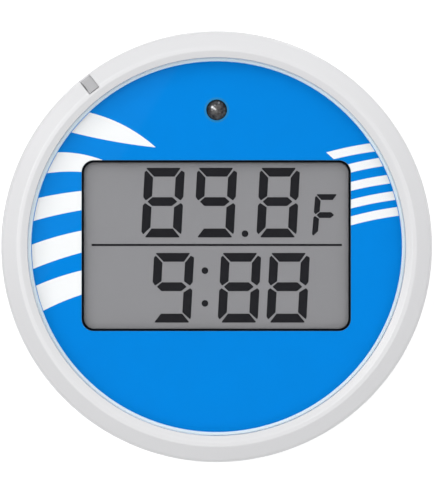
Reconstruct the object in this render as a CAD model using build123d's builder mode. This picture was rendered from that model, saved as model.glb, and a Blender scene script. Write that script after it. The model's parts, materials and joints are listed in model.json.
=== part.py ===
from build123d import *

import os
from math import atan2, cos, degrees, radians, sin, tan

# A floating pool thermometer that lies face up on the water.  A round head carries the
# display behind a clear lens, a screwed ring clamps the lens, and a short stem below holds
# two AAA cells, the ballast and the probe.  Millimetres, +Z up, the foot stands on Z = 0,
# and +Y is twelve o'clock of the display.

# ---- driving dimensions --------------------------------------------------------------
outer_diameter = 100.0
overall_height = 80.0
wall = 2.2
dome_diameter = 5.0  # a standard epoxy photodiode package
face_diameter = 86.2
window_size = (62.37, 39.46)
window_centre = (-0.1, 0.24)
window_corner = 2.8
sensor_height = 31.8
cell_diameter = 10.5  # AAA
cell_length = 44.5
probe_diameter = 4.0
lens_thickness = 2.4
seal_cord = 1.7
thread_pitch = 3.0
cap_pitch = 2.5
button_travel = 0.5

# ---- heights, from the top of the ring down to the foot --------------------------------
lens_top = overall_height - 1.6
lens_bottom = lens_top - lens_thickness
seal_seat = lens_bottom - seal_cord
overlay_top = lens_bottom - 0.15
face_top = overlay_top - 0.4
ledge = face_top - 0.9
board_top = ledge - 4.9
board_bottom = board_top - 1.6
shoulder = board_bottom - 4.25
head_floor = shoulder - 5.6
underside = head_floor - wall
tube_ceiling = head_floor + 0.4
neck_joint = underside - 9.0
cavity_floor = 5.4
cap_recess = 3.2

# ---- radii of the head, the ring, the stem and the battery tube ---------------------------
outer_radius = outer_diameter / 2
hull_radius = outer_radius - 0.7
rim_radius = 46.8
rim_bore = 44.15
ledge_bore = 42.2
lens_radius = 46.2
ring_bore = 43.8
bead_crest = 45.35
fold_radius = 46.3
skirt_radius = outer_radius - 0.7
skirt_bore = 48.15
stem_radius = 24.0
stem_bore = stem_radius - wall
tube_bore = 13.2
tube_radius = tube_bore + 2.0
mouth_bore = 14.65
mouth_radius = mouth_bore + 2.15
lap_radius = stem_bore + 1.05
lap_height = 2.6
recess_radius = 18.2

# ---- places of the smaller features ------------------------------------------------------
probe_place = (0.0, -19.0)
channel_radius = 3.0
channel_low = 4.0
channel_high = 18.0
channel_middle = (0.0, probe_place[1] - 6.0)
housing_top = channel_high + 2.0
gland_radius = 2.6
key_circle = 35.0
key_angles = {"set": -115.0, "plus": -90.0, "unit": -65.0}
key_screw_angles = (-127.5, -102.5, -77.5, -52.5)
module_screw_places = [(x, y) for x in (-27.0, 27.0) for y in (-27.0, 27.0)]
cell_offset = 5.9
eye_place = (27.6, 12.0)  # Y and Z of the tether hole
eye_radius = 2.0
notch_angle = 128.1
key_pin_place = (0.0, 9.3)

UPRIGHT = (Align.CENTER, Align.CENTER, Align.MIN)


def on_circle(radius, angle):
    """The X and Y of a point at a radius and an angle in degrees."""
    return (radius * cos(radians(angle)), radius * sin(radians(angle)))


def turn(*corners, mode=Mode.ADD):
    """Turn a closed outline about Z.  Each corner is (radius, height) or (radius, height, rounding)."""
    points = [corner[:2] for corner in corners]
    roundings = [corner[2] if len(corner) > 2 else 0 for corner in corners]
    with BuildSketch(Plane.XZ) as outline:
        with BuildLine():
            FilletPolyline(*points, radius=roundings, close=True)
        make_face()
    revolve(outline.sketch, axis=Axis.Z, mode=mode)


def post(place, radius, low, high, mode=Mode.ADD):
    """Add or cut a vertical cylinder between two heights."""
    with Locations((place[0], place[1], low)):
        Cylinder(radius, high - low, align=UPRIGHT, mode=mode)


def slab(size, low, high, place=(0.0, 0.0), corner=0.0, turned=0.0, mode=Mode.ADD):
    """Add or cut a flat rectangle, with rounded corners, between two heights."""
    with BuildSketch(Plane.XY.offset(low)) as section:
        with Locations(Location((place[0], place[1], 0), (0, 0, turned))):
            if corner:
                RectangleRounded(*size, corner)
            else:
                Rectangle(*size)
    extrude(section.sketch, amount=high - low, mode=mode)


def grown(size, amount):
    """A rectangle's size with the same amount added on every side."""
    return (size[0] + 2 * amount, size[1] + 2 * amount)


def thread_ridge(foot_radius, crest_radius, start, turns, pitch, foot_width, crest_width):
    """A right-hand helical ridge whose foot is sunk a little into the wall that carries it."""
    depth = crest_radius - foot_radius
    with BuildPart() as ridge:
        with BuildLine() as path:
            Helix(pitch, pitch * turns, foot_radius, center=(0, 0, start))
        section_plane = Plane(origin=path.line @ 0, x_dir=(1, 0, 0), z_dir=path.line % 0)
        with BuildSketch(section_plane):
            with BuildLine():
                Polyline(
                    (0, -foot_width / 2),
                    (depth, -crest_width / 2),
                    (depth, crest_width / 2),
                    (0, foot_width / 2),
                    close=True,
                )
            make_face()
        sweep(is_frenet=True)
    return ridge.part


def coil_spring(place, low, high, base_radius, tip_radius, wire_radius, turns):
    """A conical wire spring standing on its base."""
    rise = high - low - 2 * wire_radius
    lean = degrees(atan2(tip_radius - base_radius, rise))
    with BuildPart() as spring:
        with BuildLine() as path:
            Helix(rise / turns, rise, base_radius, center=(0, 0, low + wire_radius), cone_angle=lean)
        with BuildSketch(Plane(origin=path.line @ 0, z_dir=path.line % 0)):
            Circle(wire_radius)
        sweep(is_frenet=True)
    return Pos(place[0], place[1], 0) * spring.part


def lead(route, radius):
    """An insulated lead along a route, with each bend as wide as its two runs allow."""
    points = [Vector(*point) for point in route]
    bends = []
    for before, here, after in zip(points, points[1:], points[2:]):
        shorter = min((here - before).length, (after - here).length)
        half_turn = radians((here - before).get_angle(after - here) / 2)
        bends.append(0.45 * shorter / tan(half_turn))
    with BuildPart() as wire:
        with BuildLine() as path:
            FilletPolyline(*points, radius=bends)
        with BuildSketch(Plane(origin=path.line @ 0, z_dir=path.line % 0)):
            Circle(radius)
        sweep()
    return wire.part


# ---- the head shell: a shallow bowl with a neck, a threaded rim and the bed of the keys --------
rim_thread = thread_ridge(rim_radius - 0.1, rim_radius + 0.9, 67.2, 1.75, thread_pitch, 1.7, 0.9)

with BuildPart() as head_shell:
    turn(
        (lap_radius + 0.1, neck_joint),
        (stem_radius, neck_joint, 0.25),
        (stem_radius, underside, 7.0),
        (hull_radius, underside, 7.4),
        (hull_radius, shoulder, 0.3),
        (rim_radius, shoulder),
        (rim_radius, seal_seat + 1.0),
        (lens_radius, seal_seat + 1.0),
        (lens_radius, seal_seat),
        (rim_bore, seal_seat),
        (rim_bore, ledge),
        (ledge_bore, ledge),
        (ledge_bore, ledge - 1.2),
        (rim_bore, ledge - 3.2),
        (rim_bore, head_floor, 5.0),
        (stem_bore, head_floor, 6.2 + wall),
        (stem_bore, neck_joint + lap_height),
        (lap_radius + 0.1, neck_joint + lap_height),
    )
    add(rim_thread)
    # the key bed: a raised curb with three wells, their holes and the clamp's screw holes
    with BuildSketch(Plane.XY.offset(head_floor - 0.8)) as curb:
        Circle(41.8)
        Circle(28.4, mode=Mode.SUBTRACT)
        with BuildLine():
            Polyline((0, 0), on_circle(90, -130.0), on_circle(90, -90), on_circle(90, -50.0), close=True)
        make_face(mode=Mode.INTERSECT)
    extrude(curb.sketch, amount=2.2)
    for angle in key_angles.values():
        post(on_circle(key_circle, angle), 5.4, head_floor, head_floor + 2.0, mode=Mode.SUBTRACT)
        post(on_circle(key_circle, angle), 4.2, underside - 1.0, head_floor + 1.0, mode=Mode.SUBTRACT)
    for angle in key_screw_angles:
        post(on_circle(key_circle, angle), 1.05, head_floor - 1.0, head_floor + 2.0, mode=Mode.SUBTRACT)

# ---- the stem body: battery tube, probe cage, tether eye and foot in one moulding ---------------
mouth_thread = thread_ridge(mouth_bore + 0.1, mouth_bore - 1.0, 5.0, 1.75, cap_pitch, 1.3, 0.7)

with BuildPart() as stem_body:
    turn(
        (recess_radius, 0, 0.4),
        (stem_radius, 0, 1.2),
        (stem_radius, neck_joint - 0.15, 0.25),
        (lap_radius, neck_joint - 0.15),
        (lap_radius, neck_joint + lap_height - 0.1, 0.3),
        (stem_bore, neck_joint + lap_height - 0.1),
        (stem_bore, cavity_floor, 0.8),
        (mouth_radius, cavity_floor),
        (mouth_radius, 12.4),
        (tube_radius, 13.6),
        (tube_radius, tube_ceiling + 2.0),
        (0, tube_ceiling + 2.0),
        (0, tube_ceiling),
        (tube_bore, tube_ceiling),
        (tube_bore, 12.4),
        (mouth_bore, 11.2),
        (mouth_bore, cap_recess),
        (recess_radius, cap_recess),
    )
    add(mouth_thread)
    # the cage round the probe: a walled channel, open to the water at the front
    with BuildSketch(Plane.XY.offset(channel_low)) as channel_wall:
        SlotCenterPoint(channel_middle, probe_place, 2 * (channel_radius + wall))
        Circle(stem_radius, mode=Mode.INTERSECT)
        Circle(tube_radius, mode=Mode.SUBTRACT)
    extrude(channel_wall.sketch, amount=housing_top - channel_low)
    with BuildSketch(Plane.XY.offset(channel_low)) as channel:
        SlotCenterPoint(channel_middle, probe_place, 2 * channel_radius)
    extrude(channel.sketch, amount=channel_high - channel_low, mode=Mode.SUBTRACT)
    post(probe_place, gland_radius, channel_high, housing_top, mode=Mode.SUBTRACT)
    # the tether eye, a flat lug behind the stem
    with BuildSketch(Plane.YZ) as lug:
        with Locations(eye_place):
            Circle(eye_radius + 2.2)
        with Locations(((stem_radius + eye_place[0]) / 2 - 0.6, eye_place[1])):
            Rectangle(eye_place[0] - stem_radius + 1.2, 2 * (eye_radius + 2.2))
    extrude(lug.sketch, amount=2.0, both=True)
    with Locations(Location((0, eye_place[0], eye_place[1]), (0, 90, 0))):
        Cylinder(eye_radius, 6.0, mode=Mode.SUBTRACT)
    # the two lead holes through the roof of the battery tube
    for x in (-cell_offset, cell_offset):
        post((x, 0), 0.8, tube_ceiling - 1.0, tube_ceiling + 3.0, mode=Mode.SUBTRACT)

# ---- the clamping ring: raised bead, conical band, ribbed skirt and inner thread ----------------
skirt_thread = thread_ridge(skirt_bore + 0.1, skirt_bore - 1.0, 65.85, 1.75, thread_pitch, 1.7, 0.9)
band_low = overall_height - 1.3
skirt_bottom = shoulder + 0.2
lens_gap = 0.05
notch_width = 2.9
notch_inner = fold_radius - 0.5
notch_floor = overall_height - 3.0
notch_step = (lens_radius + 0.75, lens_top + 0.35)  # over the lens the notch is shallower

with BuildPart() as bezel_ring:
    turn(
        (ring_bore, lens_top + lens_gap),
        (ring_bore, overall_height - 0.5, 0.2),
        (bead_crest, overall_height, 0.8),
        (fold_radius, overall_height, 0.9),
        (outer_radius, band_low, 1.0),
        (outer_radius, 74.4, 0.4),
        (skirt_radius, 73.7, 0.4),
        (skirt_radius, skirt_bottom, 0.4),
        (skirt_bore, skirt_bottom),
        (skirt_bore, 74.0),
        (rim_radius + 0.3, 75.0),
        (rim_radius + 0.3, 75.5),
        (lens_radius - 0.2, 75.5),
        (lens_radius - 0.2, lens_bottom - lens_gap),
        (lens_radius + 0.15, lens_bottom - lens_gap),
        (lens_radius + 0.15, lens_top + lens_gap),
    )
    add(skirt_thread)
    # grip ribs, kept just inside the widest part of the ring
    with BuildSketch(Plane.XY.offset(skirt_bottom + 1.0)) as ribs:
        with PolarLocations(skirt_radius - 0.2, 48):
            Circle(0.8)
    extrude(ribs.sketch, amount=8.0)
    # the index notch in the band, open to the outside
    for inner, floor in ((notch_inner, notch_step[1]), (notch_step[0], notch_floor)):
        middle = on_circle((inner + outer_radius + 1.0) / 2, notch_angle)
        size = (outer_radius + 1.0 - inner, notch_width)
        slab(size, floor, overall_height, middle, turned=notch_angle, mode=Mode.SUBTRACT)

# the grey tab pressed into the notch, with a gap along one side of it
tab_width = notch_width - 0.4
tab_sink = 0.3
tab_inner = notch_inner + 0.2
tab_outer = outer_radius - 0.4
tab_bevel = 0.45  # the steep outer end of the tab
band_slope = (overall_height - band_low) / (outer_radius - fold_radius)

with BuildPart() as index_tab:
    turn(
        (tab_inner, notch_step[1]),
        (notch_step[0] + 0.05, notch_step[1]),
        (notch_step[0] + 0.05, notch_floor),
        (tab_outer, notch_floor),
        (tab_outer, notch_floor + 0.2),
        (tab_outer - tab_bevel, overall_height - tab_sink - band_slope * (tab_outer - fold_radius)),
        (tab_inner, overall_height - tab_sink - band_slope * (tab_inner - fold_radius)),
    )
    middle = on_circle(outer_radius, notch_angle)
    aside = on_circle((notch_width - tab_width) / 2 - 0.05, notch_angle - 90)
    place = (middle[0] + aside[0], middle[1] + aside[1])
    slab((10.0, tab_width), notch_floor, overall_height, place, turned=notch_angle, mode=Mode.INTERSECT)

with BuildPart() as lens:
    post((0, 0), lens_radius, lens_bottom, lens_top)
    chamfer(lens.edges().group_by(Axis.Z)[-1], 0.3)

with BuildPart() as lens_seal:
    with BuildSketch(Plane.XZ):
        with Locations((lens_radius - 1.1, seal_seat + seal_cord / 2)):
            Circle(seal_cord / 2)
    revolve(axis=Axis.Z)

# ---- the face: moulded plate and printed overlay ---------------------------------------------
face_radius = face_diameter / 2
plate_radius = rim_bore - 0.15

with BuildPart() as face_plate:
    post((0, 0), plate_radius, ledge, face_top)
    turn(
        (face_radius + 0.05, face_top - 0.4),
        (plate_radius, face_top - 0.4),
        (plate_radius, lens_bottom - 0.05, 0.2),
        (face_radius + 0.05, lens_bottom - 0.05, 0.2),
    )
    for place in module_screw_places:
        post(place, 2.5, board_top, ledge)
        post(place, 1.3, board_top, ledge + 0.2, mode=Mode.SUBTRACT)
    slab(grown(window_size, 0.15), ledge, face_top, window_centre, window_corner, mode=Mode.SUBTRACT)
    post((0, sensor_height), dome_diameter / 2 + 0.2, ledge, face_top, mode=Mode.SUBTRACT)

with BuildPart() as face_overlay:
    post((0, 0), face_radius, face_top, overlay_top)
    slab(grown(window_size, 0.15), face_top, overlay_top, window_centre, window_corner, mode=Mode.SUBTRACT)
    post((0, sensor_height), dome_diameter / 2 + 0.25, face_top, overlay_top, mode=Mode.SUBTRACT)

# ---- the display: frame, two glasses, polarizer, reflector and contact strips -------------------
frame_size = (68.5, 46.5)
glass_size = (66.0, 43.5)
rear_glass_size = (66.0, 39.0)
display_top = ledge - 0.4
front_glass_top = display_top - 0.2
rear_glass_top = front_glass_top - 1.1
rear_glass_bottom = rear_glass_top - 1.1
strip_offset = 20.9

with BuildPart() as lcd_frame:
    slab(frame_size, board_top, ledge, window_centre, 3.0)
    slab(window_size, ledge, overlay_top + 0.1, window_centre, window_corner)
    slab(grown(glass_size, 0.05), board_top, display_top, window_centre, mode=Mode.SUBTRACT)
    slab(grown(window_size, -0.38), display_top, overlay_top + 1.0, window_centre, 2.4, mode=Mode.SUBTRACT)

with BuildPart() as lcd_polarizer:
    slab((64.5, 42.0), front_glass_top, display_top, window_centre)

with BuildPart() as lcd_front_glass:
    slab(glass_size, rear_glass_top, front_glass_top, window_centre)

with BuildPart() as lcd_rear_glass:
    slab(rear_glass_size, rear_glass_bottom, rear_glass_top, window_centre)

with BuildPart() as lcd_reflector:
    slab((64.5, 38.0), rear_glass_bottom - 0.2, rear_glass_bottom, window_centre)

contact_strips = {}
for name, side in (("upper", 1), ("lower", -1)):
    with BuildPart() as contact_strip:
        slab((58.0, 1.5), board_top, rear_glass_top, (0, window_centre[1] + side * strip_offset))
    contact_strips[name] = contact_strip

# ---- the circuit board and what is soldered on it -----------------------------------------------
board_radius = 41.0
switch_top = board_bottom - 3.0
probe_plug_place = (0.0, -22.0)

with BuildPart() as circuit_board:
    post((0, 0), board_radius, board_bottom, board_top)
    for place in module_screw_places:
        post(place, 1.5, board_bottom, board_top, mode=Mode.SUBTRACT)
    for x in (-1.27, 1.27):
        post((x, sensor_height), 0.4, board_bottom, board_top, mode=Mode.SUBTRACT)

with BuildPart() as controller_blob:
    turn(
        (0, board_bottom),
        (8.0, board_bottom),
        (6.6, board_bottom - 1.3, 1.6),
        (0, board_bottom - 1.7),
    )
controller_blob.part.locate(Location((15.0, 12.0, 0)))

with BuildPart() as quartz_crystal:
    with Locations(Location((-14.0, 10.0, board_bottom - 1.5), (0, 90, 0))):
        Cylinder(1.5, 8.0)
    fillet(quartz_crystal.edges().filter_by(GeomType.CIRCLE), 0.4)

with BuildPart() as capacitors:
    for place in ((-6.0, 17.0), (-1.5, 17.0), (3.0, 17.0), (24.0, -4.0)):
        slab((1.3, 2.2), board_bottom - 1.2, board_bottom, place)

with BuildPart() as resistors:
    for place in ((-22.0, -2.0), (-22.0, 1.5), (-22.0, 5.0), (26.5, -4.0), (8.0, -26.0)):
        slab((2.0, 1.2), board_bottom - 0.6, board_bottom, place)

with BuildPart() as tact_switches:
    for angle in key_angles.values():
        place = on_circle(key_circle, angle)
        slab((6.0, 6.0), switch_top, board_bottom, place, 0.4, turned=angle)
        post(place, 1.7, switch_top - 0.5, switch_top)

with BuildPart() as module_screws:
    for place in module_screw_places:
        post(place, 2.4, board_bottom - 1.5, board_bottom)
        post(place, 1.25, board_bottom, ledge - 0.1)
    heads = module_screws.faces().sort_by(Axis.Z)[:4]
    chamfer(heads.edges(), 0.5)
    for place in module_screw_places:
        slab((3.0, 0.7), board_bottom - 1.5, board_bottom - 0.8, place, mode=Mode.SUBTRACT)
        slab((0.7, 3.0), board_bottom - 1.5, board_bottom - 0.8, place, mode=Mode.SUBTRACT)

# ---- the light sensor in the face ------------------------------------------------------------------
sensor_bottom = board_top + 0.2
dome_radius = dome_diameter / 2
sensor_top = lens_bottom - 0.1

with BuildPart() as light_sensor:
    with BuildSketch(Plane.XZ):
        with BuildLine():
            Polyline(
                (0, sensor_top),
                (0, sensor_bottom),
                (dome_radius + 0.45, sensor_bottom),
                (dome_radius + 0.45, sensor_bottom + 1.0),
                (dome_radius, sensor_bottom + 1.0),
                (dome_radius, sensor_top - dome_radius),
            )
            RadiusArc((dome_radius, sensor_top - dome_radius), (0, sensor_top), -dome_radius)
        make_face()
    revolve(axis=Axis.Z)
light_sensor.part.locate(Location((0, sensor_height, 0)))

with BuildPart() as light_sensor_leads:
    for x in (-1.27, 1.27):
        post((x, sensor_height), 0.25, board_bottom - 0.8, sensor_bottom)

# ---- the three keys under the head ---------------------------------------------------------------
key_radius = 4.0
mat_low = head_floor + 1.4
mat_high = mat_low + 0.8
clamp_high = mat_high + 1.2
plunger_top = switch_top - 0.5 - button_travel - 0.05


def cut_mark(name):
    """Cut the key's own mark into its face: a bar, a plus or a ring."""
    low = underside - 1.2
    high = low + 0.3
    if name == "set":
        slab((3.4, 1.0), low, high, mode=Mode.SUBTRACT)
    if name == "plus":
        slab((3.4, 0.8), low, high, mode=Mode.SUBTRACT)
        slab((0.8, 3.4), low, high, mode=Mode.SUBTRACT)
    if name == "unit":
        turn((1.0, low), (1.7, low), (1.7, high), (1.0, high), mode=Mode.SUBTRACT)


keys = {}
plungers = {}
for name, angle in key_angles.items():
    with BuildPart() as key:
        turn(
            (0, underside - 1.2),
            (key_radius, underside - 1.2, 0.6),
            (key_radius, head_floor),
            (key_radius + 1.0, head_floor),
            (key_radius + 1.0, mat_low),
            (0, mat_low),
        )
        cut_mark(name)
    key.part.locate(Location((*on_circle(key_circle, angle), 0)))
    keys[name] = key
    with BuildPart() as plunger:
        turn(
            (0, mat_low),
            (5.2, mat_low),
            (5.2, mat_high, 0.2),
            (2.6, mat_high),
            (1.6, mat_high + 0.7),
            (1.6, plunger_top, 0.3),
            (0, plunger_top),
        )
    plunger.part.locate(Location((*on_circle(key_circle, angle), 0)))
    plungers[name] = plunger


def key_bed_sheet(low, high, hole_radius, inner, outer):
    """A sheet of the key bed's outline with a hole over each key and each screw."""
    with BuildSketch(Plane.XY.offset(low)) as sheet:
        Circle(outer)
        Circle(inner, mode=Mode.SUBTRACT)
        with BuildLine():
            Polyline((0, 0), on_circle(90, -129.6), on_circle(90, -90), on_circle(90, -50.4), close=True)
        make_face(mode=Mode.INTERSECT)
        for angle in key_angles.values():
            with Locations(on_circle(key_circle, angle)):
                Circle(hole_radius, mode=Mode.SUBTRACT)
        for angle in key_screw_angles:
            with Locations(on_circle(key_circle, angle)):
                Circle(1.2, mode=Mode.SUBTRACT)
    extrude(sheet.sketch, amount=high - low)


with BuildPart() as keypad_seal:
    key_bed_sheet(mat_low, mat_high, 5.25, 28.4, 41.8)

with BuildPart() as keypad_clamp:
    key_bed_sheet(mat_high, clamp_high, 5.6, 28.7, 41.5)

with BuildPart() as keypad_screws:
    for angle in key_screw_angles:
        place = on_circle(key_circle, angle)
        post(place, 1.9, clamp_high, clamp_high + 1.2)
        post(place, 1.0, head_floor - 0.8, clamp_high)
        slab((2.4, 0.6), clamp_high + 0.6, clamp_high + 1.2, place, mode=Mode.SUBTRACT)
        slab((0.6, 2.4), clamp_high + 0.6, clamp_high + 1.2, place, mode=Mode.SUBTRACT)

# ---- the temperature probe ----------------------------------------------------------------------
probe_radius = probe_diameter / 2
probe_low = 6.0
lead_radius = 0.45

with BuildPart() as probe_tip:
    turn(
        (0, probe_low),
        (probe_radius, probe_low, 1.2),
        (probe_radius, housing_top + 0.6),
        (probe_radius + 0.6, housing_top + 0.6),
        (probe_radius + 0.6, housing_top + 1.2),
        (probe_radius - 0.3, housing_top + 1.2),
        (probe_radius - 0.3, probe_low + 0.4, 1.0),
        (0, probe_low + 0.4),
    )
probe_tip.part.locate(Location((*probe_place, 0)))

with BuildPart() as probe_grommet:
    turn(
        (probe_radius, channel_high - 0.6),
        (gland_radius + 0.2, channel_high - 0.6, 0.2),
        (gland_radius + 0.2, channel_high),
        (gland_radius, channel_high),
        (gland_radius, housing_top),
        (gland_radius + 0.1, housing_top),
        (gland_radius + 0.1, housing_top + 0.6),
        (probe_radius, housing_top + 0.6),
    )
probe_grommet.part.locate(Location((*probe_place, 0)))

with BuildPart() as thermistor:
    turn(
        (0, probe_low + 0.9),
        (1.3, probe_low + 0.9, 0.9),
        (1.3, probe_low + 3.6, 0.9),
        (0, probe_low + 3.6),
    )
thermistor.part.locate(Location((*probe_place, 0)))

with BuildPart() as probe_leads:
    for x in (-0.65, 0.65):
        route = [
            (x, probe_place[1], probe_low + 3.6),
            (x, probe_place[1], 26.0),
            (x, -17.8, 38.0),
            (x, -18.6, 48.0),
            (x, probe_plug_place[1], 56.0),
            (x, probe_plug_place[1], 61.0),
        ]
        add(lead(route, lead_radius))

with BuildPart() as probe_plug:
    slab((6.0, 4.0), 61.0, board_bottom, probe_plug_place, 0.4)

# ---- the ballast on the floor of the stem -----------------------------------------------------
ballast_bore = 17.0
ballast_radius = stem_bore - 0.2
ballast_top = cavity_floor + 6.0
gap_half_width = channel_radius + wall + 0.3
gap_place = (0.0, probe_place[1] - 1.0)

with BuildPart() as ballast_ring:
    turn(
        (ballast_bore, cavity_floor),
        (ballast_radius - 0.9, cavity_floor),
        (ballast_radius, cavity_floor + 0.9),
        (ballast_radius, ballast_top, 0.5),
        (ballast_bore, ballast_top, 0.5),
    )
    slab((2 * gap_half_width, 12.0), cavity_floor, ballast_top, gap_place, mode=Mode.SUBTRACT)

with BuildPart() as ballast_retainer:
    turn(
        (tube_radius + 1.8, ballast_top),
        (ballast_radius, ballast_top),
        (ballast_radius, ballast_top + 0.8),
        (tube_radius + 1.8, ballast_top + 0.8),
    )
    slab((2 * gap_half_width, 12.0), ballast_top, ballast_top + 0.8, gap_place, mode=Mode.SUBTRACT)

# ---- the cells, their holder and contacts ---------------------------------------------------------
cell_radius = cell_diameter / 2
post_shoulder = 7.0
disc_high = post_shoulder + 1.6
plate_high = disc_high + 0.3
spring_length = 3.4
holder_low = 11.2
contact_low = plate_high + spring_length + cell_length
contact_high = contact_low + 0.3


def cell(place, low, nub_up):
    """One AAA cell: a plain can with a nub on one end and a shallow dish on the other."""
    with BuildPart() as body:
        turn(
            (0, 0.2),
            (3.0, 0.2),
            (3.6, 0),
            (cell_radius, 0, 0.4),
            (cell_radius, cell_length - 1.0, 0.5),
            (1.9, cell_length - 1.0),
            (1.9, cell_length, 0.3),
            (0, cell_length),
        )
    if nub_up:
        return Pos(place[0], place[1], low) * body.part
    return Pos(place[0], place[1], low + cell_length) * Rot(180, 0, 0) * body.part


with BuildPart() as battery_a:
    add(cell((-cell_offset, 0), plate_high + spring_length, True))

with BuildPart() as battery_b:
    add(cell((cell_offset, 0), plate_high, False))

with BuildPart() as battery_holder:
    post((0, 0), tube_bore - 0.2, contact_high, tube_ceiling)
    post((0, 0), tube_bore - 0.2, holder_low, holder_low + 1.6)
    for x in (-cell_offset, cell_offset):
        post((x, 0), cell_radius + 1.2, holder_low, contact_high)
    for x in (-cell_offset, cell_offset):
        post((x, 0), cell_radius + 0.15, holder_low, contact_high, mode=Mode.SUBTRACT)
        post((x, 0), 0.8, contact_high, tube_ceiling, mode=Mode.SUBTRACT)
    # windows in the sleeves, so that the cells can be pushed out
    slab((2 * cell_offset, 20.0), 20.0, 50.0, corner=2.0, mode=Mode.SUBTRACT)
    # the pin that keeps the contact disc from turning with the cap
    post(key_pin_place, 1.0, 5.4, holder_low)

with BuildPart() as top_contacts:
    for x in (-cell_offset, cell_offset):
        post((x, 0), cell_radius, contact_low, contact_high)

with BuildPart() as top_spring:
    add(
        coil_spring(
            (cell_offset, 0), contact_low - spring_length, contact_low, 1.8, 3.8, 0.25, 3.5
        )
    )

with BuildPart() as battery_leads:
    for x in (-cell_offset, cell_offset):
        route = [
            (x, 0, contact_high),
            (x, 0, 63.0),
            (x, 8.0, 63.3),
            (x, 8.0, board_bottom),
        ]
        add(lead(route, 0.55))

# ---- the battery cap and the contact disc that it carries ---------------------------------------
cap_thread = thread_ridge(13.2, 14.35, 6.15, 1.5, cap_pitch, 1.3, 0.7)
flange_radius = recess_radius - 0.6
flange_low = 0.5
flange_high = cap_recess - 0.2
groove_floor = cap_recess - 1.3
neck_radius = 13.3
cup_radius = 11.6

with BuildPart() as battery_cap:
    turn(
        (0, flange_low),
        (flange_radius, flange_low, 0.8),
        (flange_radius, flange_high, 0.3),
        (16.65, flange_high),
        (16.65, groove_floor),
        (15.15, groove_floor),
        (15.15, flange_high),
        (neck_radius, flange_high),
        (neck_radius, 10.8, 0.4),
        (cup_radius, 10.8),
        (cup_radius, 4.8, 0.8),
        (2.2, 4.8),
        (2.2, post_shoulder),
        (1.2, post_shoulder),
        (1.2, plate_high),
        (0, plate_high),
    )
    add(cap_thread)
    slab((20.0, 2.2), flange_low, flange_low + 1.3, corner=1.05, mode=Mode.SUBTRACT)

with BuildPart() as cap_seal:
    with BuildSketch(Plane.XZ):
        with Locations((15.9, cap_recess - 0.65)):
            Circle(0.65)
    revolve(axis=Axis.Z)

with BuildPart() as contact_disc:
    post((0, 0), cup_radius - 0.4, post_shoulder, disc_high)
    post((0, 0), 1.27, post_shoulder, disc_high, mode=Mode.SUBTRACT)
    post(key_pin_place, 1.3, post_shoulder, disc_high, mode=Mode.SUBTRACT)

with BuildPart() as bridge_plate:
    slab((19.0, 7.0), disc_high, plate_high, corner=1.0)
    post((0, 0), 1.5, disc_high, plate_high, mode=Mode.SUBTRACT)

with BuildPart() as bridge_spring:
    add(
        coil_spring(
            (-cell_offset, 0), plate_high, plate_high + spring_length, 3.8, 1.8, 0.25, 3.5
        )
    )

# ---- every finished piece, by name ----------------------------------------------------------------
pieces = {
    "head_shell": head_shell,
    "stem_body": stem_body,
    "bezel_ring": bezel_ring,
    "index_tab": index_tab,
    "lens": lens,
    "lens_seal": lens_seal,
    "face_plate": face_plate,
    "face_overlay": face_overlay,
    "lcd_frame": lcd_frame,
    "lcd_polarizer": lcd_polarizer,
    "lcd_front_glass": lcd_front_glass,
    "lcd_rear_glass": lcd_rear_glass,
    "lcd_reflector": lcd_reflector,
    "contact_strip_upper": contact_strips["upper"],
    "contact_strip_lower": contact_strips["lower"],
    "circuit_board": circuit_board,
    "controller_blob": controller_blob,
    "quartz_crystal": quartz_crystal,
    "capacitors": capacitors,
    "resistors": resistors,
    "tact_switches": tact_switches,
    "module_screws": module_screws,
    "light_sensor": light_sensor,
    "light_sensor_leads": light_sensor_leads,
    "set_button": keys["set"],
    "plus_button": keys["plus"],
    "unit_button": keys["unit"],
    "set_plunger": plungers["set"],
    "plus_plunger": plungers["plus"],
    "unit_plunger": plungers["unit"],
    "keypad_seal": keypad_seal,
    "keypad_clamp": keypad_clamp,
    "keypad_screws": keypad_screws,
    "probe_tip": probe_tip,
    "probe_grommet": probe_grommet,
    "thermistor": thermistor,
    "probe_leads": probe_leads,
    "probe_plug": probe_plug,
    "ballast_ring": ballast_ring,
    "ballast_retainer": ballast_retainer,
    "battery_a": battery_a,
    "battery_b": battery_b,
    "battery_holder": battery_holder,
    "top_contacts": top_contacts,
    "top_spring": top_spring,
    "battery_leads": battery_leads,
    "battery_cap": battery_cap,
    "cap_seal": cap_seal,
    "contact_disc": contact_disc,
    "bridge_plate": bridge_plate,
    "bridge_spring": bridge_spring,
}

os.makedirs("parts", exist_ok=True)
for name, piece in pieces.items():
    piece.part.label = name
    export_step(piece.part, f"parts/{name}.step")
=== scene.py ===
import json
from math import cos, radians, sin, sqrt, tan

import bmesh
import bpy
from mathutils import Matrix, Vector
from mathutils.geometry import delaunay_2d_cdt


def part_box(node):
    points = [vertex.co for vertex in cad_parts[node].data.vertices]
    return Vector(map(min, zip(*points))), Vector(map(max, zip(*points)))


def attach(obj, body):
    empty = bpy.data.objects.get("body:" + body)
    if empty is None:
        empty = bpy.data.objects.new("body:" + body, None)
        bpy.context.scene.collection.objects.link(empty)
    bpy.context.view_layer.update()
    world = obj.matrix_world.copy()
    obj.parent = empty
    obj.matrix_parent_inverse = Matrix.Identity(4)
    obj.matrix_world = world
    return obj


# The looks of a floating pool thermometer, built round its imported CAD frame.  The prints on
# the blue face and the segments of the display are thin pieces made here; every other piece
# is a CAD node that gets a procedural finish.  Outlines are in millimetres, like the part.

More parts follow.
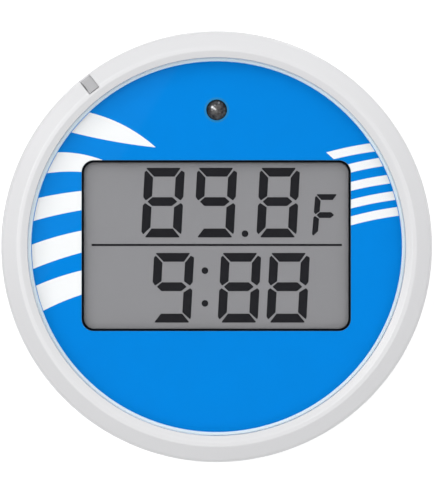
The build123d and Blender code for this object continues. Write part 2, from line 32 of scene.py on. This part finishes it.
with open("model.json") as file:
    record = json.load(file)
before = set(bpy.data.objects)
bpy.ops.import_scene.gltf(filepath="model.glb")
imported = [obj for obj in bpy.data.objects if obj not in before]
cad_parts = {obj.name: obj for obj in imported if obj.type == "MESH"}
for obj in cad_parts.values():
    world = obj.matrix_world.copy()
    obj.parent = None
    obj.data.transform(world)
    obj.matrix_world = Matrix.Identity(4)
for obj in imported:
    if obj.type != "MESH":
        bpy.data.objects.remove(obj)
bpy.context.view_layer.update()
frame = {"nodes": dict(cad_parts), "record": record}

MM = 0.001

# ---- places taken from the frame, in millimetres ---------------------------------------------
display_low, display_high = (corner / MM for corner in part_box("lcd_polarizer"))
dome_low, dome_high = (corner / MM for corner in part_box("light_sensor"))
face_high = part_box("face_overlay")[1] / MM
lens_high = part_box("lens")[1] / MM
face_radius = face_high.x
face_top = face_high.z
display_top = display_high.z
display_middle = (display_low + display_high) / 2
dome_middle = (dome_low + dome_high) / 2

# ---- driving dimensions of the prints and the segments, in millimetres -----------------------
window_size = (62.67, 39.76)
window_corner = 2.8
print_thickness = 0.03
print_sink = 0.01
print_margin = 0.12  # bare blue left between the white print and the rim
print_under_frame = 2.4  # how far the stripes start under the window's frame
blade_overrun = 0.5  # how far each edge is drawn past the rim before it is cut
stripe_overrun = 1.0
halo_radii = (2.42, 2.92)  # the bevelled edge of the hole over the light sensor
halo_overrun = 0.1
# painted highlights on the light sensor: bright spots in its colour that stand in for reflections in it, each
# with two offsets from its middle, a radius and a strength
dome_painted_highlights = [
    (-1.0, 0.66, 0.36, 1.0),
    (-0.58, 0.34, 0.3, 0.75),
    (-0.3, 0.14, 0.26, 0.6),
    (-1.05, 0.02, 0.34, 0.22),
    (-0.45, 1.05, 0.32, 0.22),
    (0.52, 1.72, 0.3, 0.4),
    (-0.85, -0.7, 0.6, 0.1),
    (-0.1, -1.3, 0.6, 0.06),
]

# the blades left of the window: where each edge starts on the rim, how far it bows, and where
# it ends, first the upper and then the lower edge
blades = [
    ((134.0, 1.15, (-14.28, 23.2)), (142.15, -0.37, (-14.3, 23.1))),
    ((149.8, 0.61, (-26.3, 20.05)), (157.1, 0.29, (-30.9, 17.33))),
    ((165.2, 0.2, (-30.9, 13.0)), (172.35, 0.2, (-30.9, 8.57))),
    ((179.7, 0.29, (-30.9, 3.82)), (187.15, 0.25, (-30.9, -1.25))),
    ((192.4, 0.31, (-30.9, -5.42)), (200.4, 0.26, (-30.9, -11.0))),
]

# the stripes right of the window: each arches with one radius, and its upper edge has this
# height and this slope at the reference distance from the middle
stripe_thickness = 2.0
stripe_radius = 80.0
stripe_reference = 32.0
stripe_steps = 20
stripes = [(23.42, 0.19), (19.49, 0.235), (15.23, 0.235), (11.13, 0.25), (7.24, 0.26)]
first_stripe_ends = (25.5, 27.25)  # where the upper and the lower edge of the top stripe start

# the digits: upright size, width of a segment, height of the middle bar and lean, then each
# row's height and the place of each digit along it
digit_size = (9.36, 16.16)
digit_stroke = 2.06
digit_waist = 8.36
digit_slant = tan(radians(3.05))
segment_rounding = 0.16
upper_row = 2.22
lower_row = -17.62
upper_digits = [("8", -17.61), ("9", -5.39), ("8", 9.23)]
lower_digits = [("9", -15.42), ("8", 0.2), ("8", 11.54)]
dots = {"decimal_point": [(6.61, 3.02)], "colon": [(-2.73, -5.59), (-2.73, -13.22)]}
dot_radius = 0.78
divider = (-29.15, 29.2, 0.39, 0.5)  # its two ends, its middle and its width
# the unit's letter is drawn with the same segments, smaller and leaning more
letter_size = (5.7, 10.14)
letter_stroke = 1.36
letter_waist = 5.32
letter_slant = tan(radians(4.8))
letter_place = (22.15, 2.1)

cell_band = (41.8, 42.0)  # where a battery's dark sleeve turns into its bright band


def srgb(red, green, blue):
    """A colour given in 0 to 255 as the linear values that shaders take."""
    shares = [value / 255 for value in (red, green, blue)]
    linear = [s / 12.92 if s <= 0.04045 else ((s + 0.055) / 1.055) ** 2.4 for s in shares]
    return (*linear, 1.0)


# ---- outlines --------------------------------------------------------------------------------
def on_circle(radius, angle, middle=(0.0, 0.0)):
    """A point at a radius and an angle in degrees."""
    return Vector((middle[0] + radius * cos(radians(angle)), middle[1] + radius * sin(radians(angle))))


def circle(radius, middle=(0.0, 0.0), steps=48):
    """A whole circle as a closed outline."""
    return [on_circle(radius, 360 * step / steps, middle) for step in range(steps)]


def bowed(start, end, bow, steps=20):
    """An edge from start to end that bows to its left by the given distance."""
    start, end = Vector(start), Vector(end)
    along = end - start
    aside = Vector((-along.y, along.x)).normalized()
    shares = [step / steps for step in range(steps + 1)]
    return [start + along * s + aside * bow * 4 * s * (1 - s) for s in shares]


def rounded(corners, radius, steps=4):
    """A convex outline with each corner turned into an arc."""
    outline = []
    for before, corner, after in zip(corners[-1:] + corners[:-1], corners, corners[1:] + corners[:1]):
        corner = Vector(corner)
        back = (Vector(before) - corner).normalized()
        ahead = (Vector(after) - corner).normalized()
        half = back.angle(ahead) / 2
        middle = corner + (back + ahead).normalized() * radius / sin(half)
        first = corner + back * radius / tan(half) - middle
        last = corner + ahead * radius / tan(half) - middle
        for step in range(steps + 1):
            outline.append(middle + first.lerp(last, step / steps).normalized() * radius)
    return outline


def box_outline(size, middle=(0.0, 0.0)):
    """The four corners of a rectangle, counter-clockwise."""
    x, y = size[0] / 2, size[1] / 2
    return [(middle[0] + i * x, middle[1] + j * y) for i, j in ((-1, -1), (1, -1), (1, 1), (-1, 1))]


# ---- meshes ----------------------------------------------------------------------------------
def raised(name, points, faces, low, high, finish):
    """A thin flat piece: faces drawn at one height and raised to another, riding on the float."""
    made = bmesh.new()
    corners = [made.verts.new((x * MM, y * MM, low * MM)) for x, y in points]
    flat = [made.faces.new([corners[i] for i in face]) for face in faces]
    lifted = bmesh.ops.extrude_face_region(made, geom=flat)["geom"]
    lifted = [item for item in lifted if isinstance(item, bmesh.types.BMVert)]
    bmesh.ops.translate(made, verts=lifted, vec=(0, 0, (high - low) * MM))
    # the corners that a cut outline no longer uses
    for vert in [vert for vert in made.verts if not vert.link_faces]:
        made.verts.remove(vert)
    bmesh.ops.recalc_face_normals(made, faces=made.faces)
    mesh = bpy.data.meshes.new(name)
    made.to_mesh(mesh)
    made.free()
    mesh.materials.append(finish)
    piece = bpy.data.objects.new(name, mesh)
    bpy.context.scene.collection.objects.link(piece)
    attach(piece, "float")
    return piece


def raised_outlines(name, outlines, low, high, finish):
    """A piece made of separate closed outlines, such as the segments of one digit."""
    points, faces = [], []
    for outline in outlines:
        faces.append(range(len(points), len(points) + len(outline)))
        points.extend(outline)
    return raised(name, points, faces, low, high, finish)


def raised_print(name, outlines, inside, outside, low, high, finish):
    """A print made of outlines, kept inside one closed outline and outside another."""
    points, groups = [], []
    for outline in [inside, outside, *outlines]:
        groups.append(list(range(len(points), len(points) + len(outline))))
        points.extend(outline)
    corners, _, parts, _, _, origins = delaunay_2d_cdt(points, [], groups, 1, 1e-5)
    wanted = [
        part for part, origin in zip(parts, origins)
        if 0 in origin and 1 not in origin and any(group > 1 for group in origin)
    ]
    return raised(name, corners, wanted, low, high, finish)


# ---- the printed face ------------------------------------------------------------------------
def blade_outline(upper, lower):
    """A blade that starts beyond the rim and runs to the window."""
    beyond = face_radius + blade_overrun
    top = bowed(on_circle(beyond, upper[0]), upper[2], upper[1])
    bottom = bowed(on_circle(beyond, lower[0]), lower[2], lower[1])
    return bottom + top[::-1]


def stripe_outline(height, slope, upper_start, lower_start):
    """A stripe of even thickness that arches from the window to beyond the rim."""
    def edge(start, drop):
        reach = face_radius + stripe_overrun - start
        places = [start + reach * step / stripe_steps for step in range(stripe_steps + 1)]
        runs = [x - stripe_reference for x in places]
        return [
            Vector((x, height - drop + slope * run - run * run / (2 * stripe_radius)))
            for x, run in zip(places, runs)
        ]
    return edge(lower_start, stripe_thickness * sqrt(1 + slope ** 2)) + edge(upper_start, 0)[::-1]


def build_face_print(finish):
    """The white blades and stripes printed on the blue sheet."""
    rim = circle(face_radius - print_margin, steps=180)
    window = rounded(box_outline(window_size, display_middle), window_corner, 8)
    low, high = face_top - print_sink, face_top + print_thickness
    left = [blade_outline(*blade) for blade in blades]
    under_frame = window_size[0] / 2 - print_under_frame
    starts = [first_stripe_ends] + [(under_frame, under_frame)] * (len(stripes) - 1)
    right = [stripe_outline(*stripe, *start) for stripe, start in zip(stripes, starts)]
    raised_print("blades_print", left, rim, window, low, high, finish)
    raised_print("stripes_print", right, rim, window, low, high, finish)


def build_dome_halo(finish):
    """The pale edge of the hole in the blue sheet, round the light sensor."""
    inner, outer = (circle(radius, dome_middle, 40) for radius in halo_radii)
    beyond = circle(halo_radii[1] + halo_overrun, dome_middle, 40)
    low, high = face_top - print_sink, face_top + print_thickness
    raised_print("dome_halo", [outer], beyond, inner, low, high, finish)


# ---- the display's segments ------------------------------------------------------------------
def segment_shapes(size, stroke, waist):
    """The seven segments of an upright digit from its lower left corner, cut in strokes."""
    width, height = size
    half = stroke / 2
    miter = 1.12 * stroke
    tip = 0.3 * stroke

    def mirrored(shape):
        return [(width - x, y) for x, y in reversed(shape)]

    def upper(corner):
        return [
            (0, height - 0.52 * stroke), (0, waist + half), (tip, waist + 0.08 * stroke),
            (stroke, waist + 0.58 * stroke), (stroke, height - miter), (corner, height - tip),
        ]

    def lower(corner):
        return [
            (0, waist - 0.45 * stroke), (0, 0.65 * stroke), (corner, tip),
            (stroke, miter), (stroke, waist - 0.68 * stroke), (0.25 * stroke, waist - 0.2 * stroke),
        ]

    bar = waist - 0.04 * stroke
    return {
        "a": [(0.1 * stroke, height), (miter, height - stroke), (width - miter, height - stroke),
              (width - 0.45 * stroke, height)],
        "b": mirrored(upper(0.38 * stroke)),
        "c": mirrored(lower(0.05 * stroke)),
        "d": [(0.4 * stroke, -0.04 * stroke), (width - 0.12 * stroke, -0.04 * stroke),
              (width - 1.0 * stroke, 0.97 * stroke), (1.12 * stroke, 0.97 * stroke)],
        "e": lower(0.22 * stroke),
        "f": upper(0.2 * stroke),
        "g": [(0.5 * stroke, bar), (1.05 * stroke, bar - half), (width - 1.25 * stroke, bar - half),
              (width - 0.65 * stroke, bar), (width - 1.25 * stroke, bar + half), (1.05 * stroke, bar + half)],
    }


def placed(shape, place, slant):
    """A segment leaned by the slant, moved to its place and rounded a little."""
    leaned = [(place[0] + x + slant * y, place[1] + y) for x, y in shape]
    return rounded(leaned, segment_rounding, 3)


def build_segments(finish):
    """Every dark segment of the display as its own thin piece."""
    low, high = display_top - print_sink, display_top + print_thickness
    lit = {"8": "abcdefg", "9": "abcdfg"}
    shapes = segment_shapes(digit_size, digit_stroke, digit_waist)
    for row, digits, height in (("upper", upper_digits, upper_row), ("lower", lower_digits, lower_row)):
        for number, (digit, x) in enumerate(digits, 1):
            outlines = [placed(shapes[key], (x, height), digit_slant) for key in lit[digit]]
            raised_outlines(f"digit_{row}_{number}", outlines, low, high, finish)
    shapes = segment_shapes(letter_size, letter_stroke, letter_waist)
    outlines = [placed(shapes[key], letter_place, letter_slant) for key in "aefg"]
    raised_outlines("letter_unit", outlines, low, high, finish)
    for name, places in dots.items():
        outlines = [circle(dot_radius, place, 24) for place in places]
        raised_outlines(name, outlines, low, high, finish)
    left, right, middle, width = divider
    line = box_outline((right - left, width), ((left + right) / 2, middle))
    raised_outlines("divider_line", [line], low, high, finish)


# ---- finishes --------------------------------------------------------------------------------
class Finish:
    """One procedural material.  Its places and sizes are in millimetres on the piece itself."""

    def __init__(self, name):
        self.material = bpy.data.materials.new(f"{name}_finish")
        self.material.use_nodes = True
        self.tree = self.material.node_tree
        self.tree.nodes.clear()
        self.output = self.add("ShaderNodeOutputMaterial")
        own = self.add("ShaderNodeTexCoord").outputs["Object"]
        self.place = self.add(
            "ShaderNodeVectorMath", {"Vector": own, "Scale": 1 / MM}, operation="SCALE"
        ).outputs["Vector"]

    def add(self, kind, inputs=None, **settings):
        """A node with its settings made and its inputs set or linked."""
        node = self.tree.nodes.new(kind)
        for key, value in settings.items():
            setattr(node, key, value)
        for key, value in (inputs or {}).items():
            if isinstance(value, bpy.types.NodeSocket):
                self.tree.links.new(value, node.inputs[key])
            else:
                node.inputs[key].default_value = value
        return node

    def noise(self, size, detail=2.0, stretch=(1, 1, 1), roughness=0.5):
        """Noise whose spots are about size millimetres wide, times the stretch along each axis."""
        scale = [1 / (size * along) for along in stretch]
        place = self.add(
            "ShaderNodeVectorMath", {0: self.place, 1: scale}, operation="MULTIPLY"
        ).outputs["Vector"]
        inputs = {"Vector": place, "Scale": 1.0, "Detail": detail, "Roughness": roughness}
        return self.add("ShaderNodeTexNoise", inputs).outputs["Fac"]

    def span(self, value, low, high, start=0.3, end=0.7):
        """A value's range from start to end mapped to low to high."""
        inputs = {"Value": value, "From Min": start, "From Max": end, "To Min": low, "To Max": high}
        return self.add("ShaderNodeMapRange", inputs).outputs["Result"]

    def maths(self, operation, *values):
        """The result of one arithmetic step."""
        return self.add("ShaderNodeMath", dict(enumerate(values)), operation=operation).outputs["Value"]

    def blend(self, share, first, second):
        """A colour between two colours."""
        node = self.add("ShaderNodeMix", {"Factor": share}, data_type="RGBA")
        for key, value in ((6, first), (7, second)):
            if isinstance(value, bpy.types.NodeSocket):
                self.tree.links.new(value, node.inputs[key])
            else:
                node.inputs[key].default_value = value
        return node.outputs[2]

    def relief(self, height, depth):
        """A surface normal raised by a height of 0 to 1, depth millimetres deep."""
        return self.add("ShaderNodeBump", {"Height": height, "Distance": depth * MM}).outputs["Normal"]

    def finish(self, shader):
        """Ends the tree with this shader's first output."""
        self.tree.links.new(shader.outputs[0], self.output.inputs["Surface"])
        return self.material


def shade(colour, share):
    """A colour made darker or lighter by a share."""
    return (*(min(1.0, value * share) for value in colour[:3]), 1.0)


def moulded(name, colour, roughness, spread=0.03, grain=0.35, depth=0.004, patch=14.0, **sockets):
    """Moulded or poured plastic: faint flow marks, an uneven gloss and a fine moulded grain."""
    work = Finish(name)
    flow = work.noise(patch, 3.0)
    speck = work.noise(grain, 2.0)
    tone = work.blend(work.span(flow, 0, 1), shade(colour, 1 - spread), shade(colour, 1 + spread))
    gloss = work.span(work.noise(patch / 3, 2.0), roughness * 0.96, roughness * 1.04)
    inputs = {"Base Color": tone, "Roughness": gloss, "Normal": work.relief(speck, depth), **sockets}
    return work.finish(work.add("ShaderNodeBsdfPrincipled", inputs))


def rubber(name, colour, grain=0.25):
    """Soft rubber or sleeve: dull, a little dusty and finely pitted."""
    work = Finish(name)
    dust = work.span(work.noise(2.5, 5.0), 0, 0.25)
    tone = work.blend(dust, colour, shade(colour, 1.6))
    inputs = {
        "Base Color": tone,
        "Roughness": work.span(work.noise(1.2, 3.0), 0.55, 0.8),
        "Normal": work.relief(work.noise(grain, 3.0), 0.012),
        "Sheen Weight": 0.15,
    }
    return work.finish(work.add("ShaderNodeBsdfPrincipled", inputs))


def metal(name, colour, roughness, stretch=(1, 1, 12), depth=0.003):
    """Drawn or plated metal with fine lines along one axis."""
    work = Finish(name)
    lines = work.noise(0.08, 3.0, stretch)
    stain = work.noise(3.0, 3.0)
    tone = work.blend(work.span(stain, 0, 1), shade(colour, 0.82), colour)
    inputs = {
        "Base Color": tone,
        "Metallic": 1.0,
        "Roughness": work.span(lines, roughness * 0.7, roughness * 1.4),
        "Normal": work.relief(lines, depth),
    }
    return work.finish(work.add("ShaderNodeBsdfPrincipled", inputs))


def printed_blue(name):
    """The blue print of the face: a fine dot grain in the ink under a satin film."""
    work = Finish(name)
    ink = srgb(0, 139, 230)
    grain = work.noise(0.12, 1.0)
    cloud = work.noise(9.0, 3.0)
    tone = work.blend(work.span(cloud, 0, 1), shade(ink, 0.985), shade(ink, 1.015))
    tone = work.blend(work.span(grain, 0, 0.05), tone, shade(ink, 0.8))
    inputs = {
        "Base Color": tone,
        "Roughness": work.span(cloud, 0.42, 0.5),
        "Specular IOR Level": 0.02,
        "Normal": work.relief(grain, 0.001),
    }
    return work.finish(work.add("ShaderNodeBsdfPrincipled", inputs))


def display_film(name):
    """The polarizer over the reflector: neutral grey with a fine sparkle of the foil below."""
    work = Finish(name)
    grey = srgb(146, 146, 149)
    sparkle = work.noise(0.09, 1.0)
    cloud = work.noise(12.0, 2.0)
    tone = work.blend(work.span(sparkle, 0, 1), shade(grey, 0.96), shade(grey, 1.04))
    tone = work.blend(work.span(cloud, 0, 0.5), tone, shade(grey, 0.985))
    inputs = {
        "Base Color": tone,
        "Roughness": work.span(cloud, 0.3, 0.4),
        "Specular IOR Level": 0.2,
        "Normal": work.relief(sparkle, 0.0006),
    }
    return work.finish(work.add("ShaderNodeBsdfPrincipled", inputs))


def clear_sheet(name, roughness=0.015, tint=(1.0, 1.0, 1.0, 1.0)):
    """A clear plate: see-through, with the reflection of its front surface on top."""
    work = Finish(name)
    scuff = work.span(work.noise(18.0, 4.0), roughness, roughness * 2)
    clear = work.add("ShaderNodeBsdfTransparent", {"Color": tint})
    shine = work.add("ShaderNodeBsdfGlossy", {"Roughness": scuff})
    mirror = work.add("ShaderNodeFresnel", {"IOR": 1.49}).outputs["Fac"]
    behind = work.add("ShaderNodeNewGeometry").outputs["Backfacing"]
    share = work.maths("MULTIPLY", mirror, work.maths("SUBTRACT", 1.0, behind))
    mixed = work.add("ShaderNodeMixShader", {"Fac": share, 1: clear.outputs[0], 2: shine.outputs[0]})
    return work.finish(mixed)


def smoked_dome(name):
    """The tinted epoxy dome: nearly black with faint random smudges, and painted highlights: bright spots in
    its colour that stand in for reflections in it.
    """
    work = Finish(name)
    flat = work.add(
        "ShaderNodeVectorMath", {0: work.place, 1: (1, 1, 0)}, operation="MULTIPLY"
    ).outputs["Vector"]
    swirl = work.noise(0.7, 3.0)
    # painted highlights: pale spots put into the dome's colour where lights would reflect in it
    painted_highlight = 0.0
    for x, y, radius, strength in dome_painted_highlights:
        middle = (dome_middle.x + x, dome_middle.y + y, 0)
        apart = work.add("ShaderNodeVectorMath", {0: flat, 1: middle}, operation="DISTANCE")
        spot = work.span(apart.outputs["Value"], strength, 0.0, radius * 0.5, radius * 1.2)
        painted_highlight = work.maths("MAXIMUM", painted_highlight, spot)
    haze = work.span(swirl, 0.0, 0.1, 0.35, 0.65)
    tone = work.blend(work.maths("MAXIMUM", painted_highlight, haze), srgb(38, 34, 35), srgb(250, 250, 250))
    inputs = {"Base Color": tone, "Roughness": work.span(swirl, 0.05, 0.1)}
    return work.finish(work.add("ShaderNodeBsdfPrincipled", inputs))


def solder_mask(name):
    """A circuit board: green lacquer over the slightly raised, paler copper tracks."""
    work = Finish(name)
    cells = work.add(
        "ShaderNodeTexBrick",
        {"Vector": work.place, "Scale": 0.22, "Mortar Size": 0.045, "Mortar Smooth": 0.2},
        offset=0.35,
    )
    tracks = cells.outputs["Fac"]
    tone = work.blend(tracks, (0.012, 0.085, 0.03, 1), (0.03, 0.19, 0.07, 1))
    weave = work.noise(0.3, 1.0, (1, 1, 4))
    inputs = {
        "Base Color": work.blend(work.span(weave, 0, 0.2), tone, (0.02, 0.14, 0.05, 1)),
        "Roughness": work.span(weave, 0.25, 0.35),
        "Normal": work.relief(tracks, 0.02),
    }
    return work.finish(work.add("ShaderNodeBsdfPrincipled", inputs))


def cell_sleeve(name):
    """A printed battery sleeve: a dark body, a bright band at one end and a shiny can."""
    work = Finish(name)
    height = work.add("ShaderNodeSeparateXYZ", {"Vector": work.place}).outputs["Z"]
    band = work.span(height, 0, 1, *cell_band)
    scuff = work.noise(0.8, 4.0)
    tone = work.blend(band, (0.015, 0.05, 0.02, 1), (0.55, 0.36, 0.09, 1))
    inputs = {
        "Base Color": work.blend(work.span(scuff, 0, 0.12), tone, (0.4, 0.4, 0.4, 1)),
        "Metallic": 0.4,
        "Roughness": work.span(scuff, 0.22, 0.4),
        "Normal": work.relief(scuff, 0.004),
    }
    return work.finish(work.add("ShaderNodeBsdfPrincipled", inputs))


def contact_layers(name):
    """Elastomer strip: fine conducting layers standing between two pale sides."""
    work = Finish(name)
    layers = work.add(
        "ShaderNodeTexWave", {"Vector": work.place, "Scale": 1.6, "Distortion": 0.2}, bands_direction="X"
    ).outputs["Fac"]
    inputs = {
        "Base Color": work.blend(layers, (0.02, 0.02, 0.02, 1), (0.4, 0.4, 0.4, 1)),
        "Roughness": work.span(layers, 0.6, 0.8),
        "Normal": work.relief(layers, 0.01),
    }
    return work.finish(work.add("ShaderNodeBsdfPrincipled", inputs))


white = srgb(221, 221, 223)
finishes = {
    "hull_white": moulded("hull_white", white, 0.36, 0.008, 0.4, 0.006),
    "ring_white": moulded(
        "ring_white", srgb(217, 217, 219), 0.34, 0.004, 0.5, 0.002,
        **{"IOR": 1.6, "Specular IOR Level": 1.0},
    ),
    "tab_grey": moulded("tab_grey", srgb(176, 176, 178), 0.5, 0.02, 0.3, 0.004),
    "lens_clear": clear_sheet("lens_clear"),
    "seal_rubber": rubber("seal_rubber", (0.02, 0.02, 0.02, 1)),
    # painted light: the face plate shows only as a thin rim in a shaded well, so its white is tinted pale
    # cyan and made to glow faintly, standing in for light that the clear lens and the blue print lead to it
    "face_white": moulded(
        "face_white", srgb(240, 249, 253), 0.4, 0.01,
        **{"Emission Color": srgb(200, 232, 250), "Emission Strength": 0.2},
    ),
    "face_blue": printed_blue("face_blue"),
    "dome_halo": moulded(
        "dome_halo", srgb(38, 136, 200), 0.5, 0.04, 0.3, 0.002, 1.0, **{"Specular IOR Level": 0.05}
    ),
    "stripe_white": moulded("stripe_white", srgb(251, 253, 254), 0.45, 0.003, 0.1, 0.001),
    "frame_black": moulded(
        "frame_black", srgb(3, 7, 13), 0.5, 0.2, 0.2, 0.006, **{"Specular IOR Level": 0.03}
    ),
    "lcd_film": display_film("lcd_film"),
    "lcd_glass": clear_sheet("lcd_glass", 0.01, (0.93, 0.97, 0.95, 1)),
    "lcd_backing": metal("lcd_backing", (0.5, 0.5, 0.51, 1), 0.5, (6, 1, 1)),
    "segment_dark": moulded(
        "segment_dark", srgb(33, 33, 37), 0.45, 0.1, 0.15, 0.001, **{"Specular IOR Level": 0.05}
    ),
    "strip_rubber": contact_layers("strip_rubber"),
    "board_green": solder_mask("board_green"),
    "epoxy_black": moulded("epoxy_black", (0.012, 0.012, 0.013, 1), 0.18, 0.3, 1.5, 0.03),
    "crystal_can": metal("crystal_can", (0.62, 0.6, 0.56, 1), 0.28, (12, 1, 1)),
    "capacitor_tan": moulded("capacitor_tan", (0.33, 0.2, 0.1, 1), 0.5, 0.2, 0.12, 0.008, 1.0),
    "resistor_black": moulded("resistor_black", (0.02, 0.02, 0.02, 1), 0.4, 0.3, 0.12, 0.006, 1.0),
    "switch_black": moulded("switch_black", (0.025, 0.025, 0.025, 1), 0.5, 0.2, 0.2, 0.01, 3.0),
    "screw_steel": metal("screw_steel", (0.55, 0.55, 0.54, 1), 0.35, (1, 12, 1)),
    "sensor_smoke": smoked_dome("sensor_smoke"),
    "tinned_wire": metal("tinned_wire", (0.7, 0.7, 0.68, 1), 0.3),
    "key_blue": moulded("key_blue", srgb(22, 118, 205), 0.42, 0.05, 0.25, 0.01, 3.0),
    "silicone_grey": rubber("silicone_grey", (0.32, 0.34, 0.37, 1)),
    "clamp_plastic": moulded("clamp_plastic", (0.04, 0.04, 0.042, 1), 0.5, 0.2, 0.3, 0.01),
    "probe_steel": metal("probe_steel", (0.6, 0.6, 0.6, 1), 0.25),
    "thermistor_epoxy": moulded("thermistor_epoxy", (0.02, 0.02, 0.02, 1), 0.2, 0.2, 0.4, 0.02, 1.0),
    "lead_black": rubber("lead_black", (0.015, 0.015, 0.015, 1)),
    "lead_red": rubber("lead_red", (0.45, 0.015, 0.015, 1)),
    "plug_white": moulded("plug_white", srgb(226, 222, 208), 0.45, 0.04, 0.3, 0.008, 3.0),
    "ballast_steel": metal("ballast_steel", (0.3, 0.3, 0.31, 1), 0.5, (6, 6, 1), 0.01),
    "retainer_foam": rubber("retainer_foam", (0.05, 0.05, 0.055, 1), 0.6),
    "cell_can": cell_sleeve("cell_can"),
    "holder_black": moulded("holder_black", (0.02, 0.02, 0.02, 1), 0.5, 0.2, 0.3, 0.012),
    "contact_nickel": metal("contact_nickel", (0.66, 0.62, 0.54, 1), 0.25, (10, 1, 1)),
}


# ---- stage: floor, surroundings, lights and camera -------------------------------------------
camera_rise = 0.797  # from the top of the lens to the camera, in metres
camera_aside = (0.0002, -0.0002)
focal_length = 250.0

floor_radius = 4.0
floor_glow = 0.36

# the studio's brightness by the height of a direction, from the horizon at 0 to overhead at 1
sky_stops = [(0.0, 0.4), (0.7, 0.38), (0.9, 1.32), (0.985, 2.15), (0.993, 0.01)]

# the softboxes: azimuth counter-clockwise from +X and elevation in degrees, distance and
# the two sides in metres, and power in watts
softboxes = {
    "window_high": ((150.0, 69.0), 1.2, (0.15, 0.45), 1.6),
    "window_low": ((145.0, 33.0), 1.1, (0.27, 0.27), 1.2),
    "window_left": ((177.0, 40.0), 1.1, (0.3, 0.25), 0.3),
    "window_right": ((110.0, 38.0), 1.1, (0.25, 0.3), 0.35),
    "fill": ((61.0, 40.0), 1.3, (1.0, 1.0), 2.1),
    "sparkle": ((71.0, 12.0), 1.1, (0.12, 0.25), 0.6),
}
aim = Vector((0.0, 0.0, 0.07))  # the middle of the face, in metres

# the pane above the camera: the two ends of the sheen's straight edge on the lens in
# millimetres, how far it stands above the camera and its sides in metres, and its power
sheen_edge = ((-8.4, 42.8), (-40.8, -8.9))
pane_rise = 0.1
pane_size = (0.3, 0.14)
pane_power = 0.012


def build_floor():
    """A wide pale disc under the foot, seen through from below."""
    made = bmesh.new()
    bmesh.ops.create_circle(made, cap_ends=True, segments=96, radius=floor_radius)
    mesh = bpy.data.meshes.new("floor")
    made.to_mesh(mesh)
    made.free()
    floor = bpy.data.objects.new("floor", mesh)
    bpy.context.scene.collection.objects.link(floor)
    work = Finish("floor")
    tone = work.blend(work.span(work.noise(60.0, 3.0), 0, 1), (0.86, 0.86, 0.86, 1), (0.88, 0.88, 0.88, 1))
    inputs = {
        "Base Color": tone,
        "Roughness": 0.8,
        "Specular IOR Level": 0.1,
        "Emission Color": (1, 1, 1, 1),
        "Emission Strength": floor_glow,
    }
    paper = work.add("ShaderNodeBsdfPrincipled", inputs)
    clear = work.add("ShaderNodeBsdfTransparent")
    behind = work.add("ShaderNodeNewGeometry").outputs["Backfacing"]
    mesh.materials.append(work.finish(
        work.add("ShaderNodeMixShader", {"Fac": behind, 1: paper.outputs[0], 2: clear.outputs[0]})
    ))


def build_surroundings():
    """A studio that is bright towards a ring overhead and dark inside that ring."""
    world = bpy.data.worlds.new("studio")
    bpy.context.scene.world = world
    world.use_nodes = True
    tree = world.node_tree
    direction = tree.nodes.new("ShaderNodeTexCoord").outputs["Generated"]
    parts = tree.nodes.new("ShaderNodeSeparateXYZ")
    tree.links.new(direction, parts.inputs["Vector"])
    ramp = tree.nodes.new("ShaderNodeValToRGB")
    tree.links.new(parts.outputs["Z"], ramp.inputs["Fac"])
    elements = ramp.color_ramp.elements
    while len(elements) < len(sky_stops):
        elements.new(0.5)
    for element, (place, value) in zip(elements, sky_stops):
        element.position = place
        element.color = (value, value, value, 1)
    tree.links.new(ramp.outputs["Color"], tree.nodes["Background"].inputs["Color"])


def pane(name, size, energy):
    """A rectangular light that the camera itself doesn't see."""
    light = bpy.data.lights.new(name, "AREA")
    light.shape = "RECTANGLE"
    light.size, light.size_y = size
    light.energy = energy
    lamp = bpy.data.objects.new(name, light)
    lamp.visible_camera = False
    bpy.context.scene.collection.objects.link(lamp)
    return lamp


def soft_light(name, direction, distance, size, energy):
    """A softbox at a direction and a distance, aimed at the face."""
    azimuth, elevation = (radians(angle) for angle in direction)
    towards = Vector((cos(elevation) * cos(azimuth), cos(elevation) * sin(azimuth), sin(elevation)))
    lamp = pane(name, size, energy)
    lamp.location = aim + towards * distance
    lamp.rotation_euler = towards.to_track_quat("Z", "Y").to_euler()


def glare_panel():
    """A faint pane above the camera, whose straight edge shows in the lens as a soft sheen."""
    lens_top = lens_high.z * MM
    height = lens_top + camera_rise + pane_rise
    spread = 1 + (height - lens_top) / camera_rise
    upper, lower = (Vector(end) * MM * spread for end in sheen_edge)
    along = (upper - lower).normalized()
    outward = Vector((-along.y, along.x))
    middle = (upper + lower) / 2 + outward * pane_size[1] / 2
    lamp = pane("glare_panel", pane_size, pane_power)
    lamp.location = (middle.x, middle.y, height)
    lamp.rotation_euler = (0, 0, along.to_3d().to_track_quat("X", "Z").to_euler().z)


def build_camera():
    """A long lens straight above the face, with twelve o'clock up."""
    view = bpy.data.cameras.new("camera")
    view.lens = focal_length
    view.clip_start, view.clip_end = 0.01, 20.0
    camera = bpy.data.objects.new("camera", view)
    camera.location = (*camera_aside, lens_high.z * MM + camera_rise)
    bpy.context.scene.collection.objects.link(camera)
    bpy.context.scene.camera = camera


# ---- the whole scene -------------------------------------------------------------------------
slot_of = {part["node"]: part["material_slot"] for part in frame["record"]["subparts"]}
for name, node in frame["nodes"].items():
    node.material_slots[0].material = finishes[slot_of[name]]

build_face_print(finishes["stripe_white"])
build_dome_halo(finishes["dome_halo"])
build_segments(finishes["segment_dark"])
build_floor()
build_surroundings()
for name, (direction, distance, size, energy) in softboxes.items():
    soft_light(name, direction, distance, size, energy)
glare_panel()
build_camera()
bpy.context.scene.view_settings.view_transform = "Standard"
